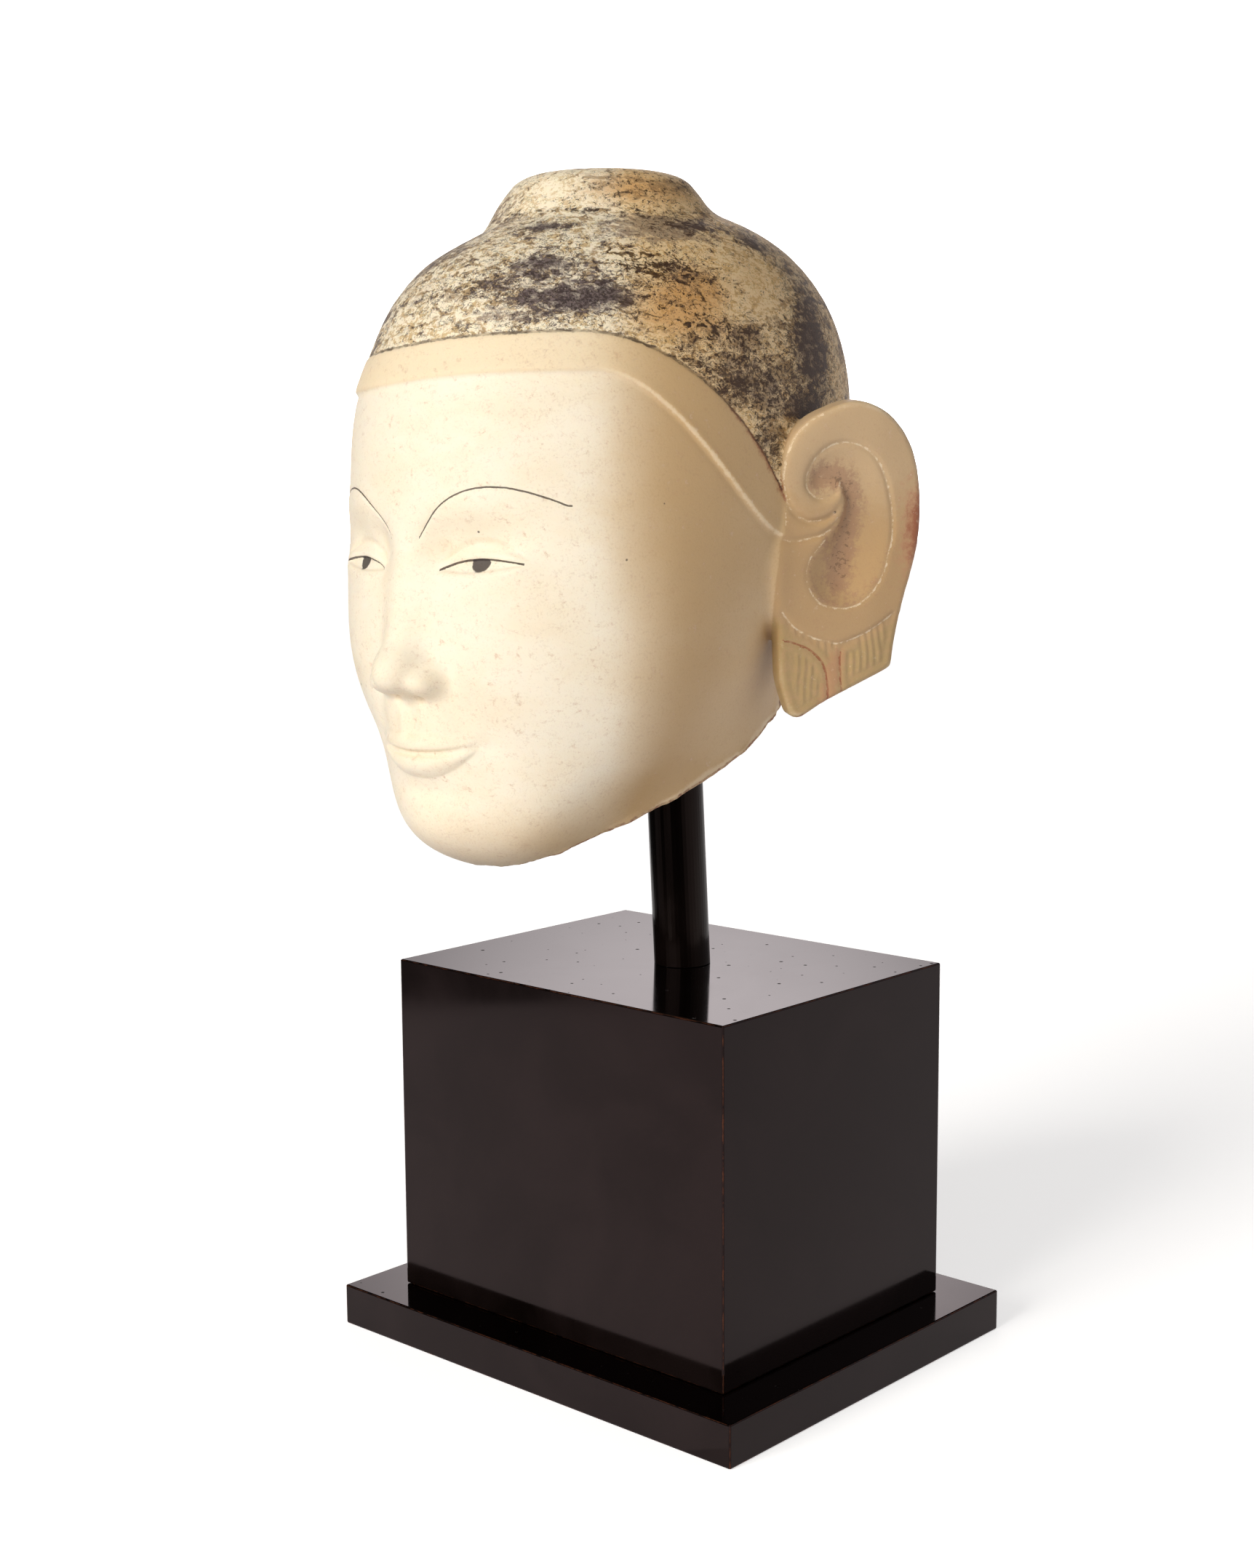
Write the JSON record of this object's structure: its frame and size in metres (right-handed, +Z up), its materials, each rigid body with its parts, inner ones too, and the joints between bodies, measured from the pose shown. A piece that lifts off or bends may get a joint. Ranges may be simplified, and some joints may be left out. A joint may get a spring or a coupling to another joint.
{
  "type": "stone buddha head",
  "caption": "Carved stone Buddha head with a knot of hair, large ears and a broken neck, held by a round rod on a dark metal block with a wider base plate.",
  "frame": {"origin": "middle of the base plate's underside", "axes": "+Z up; the figure looks along -Y and its left side is +X"},
  "size_m": [0.265, 0.2789, 0.5372],
  "materials": {
    "carved_stone": "pale carved alabaster, satin, with worn dark lacquer on the hair",
    "rod_metal": "dark brown patina, glossy",
    "patinated_metal": "dark brown patina, glossy, with worn edges"
  },
  "bodies": {
    "root": {"stone_head": "carved_stone", "support_rod": "rod_metal", "pedestal_block": "patinated_metal", "base_plate": "patinated_metal"}
  },
  "joints": []
}
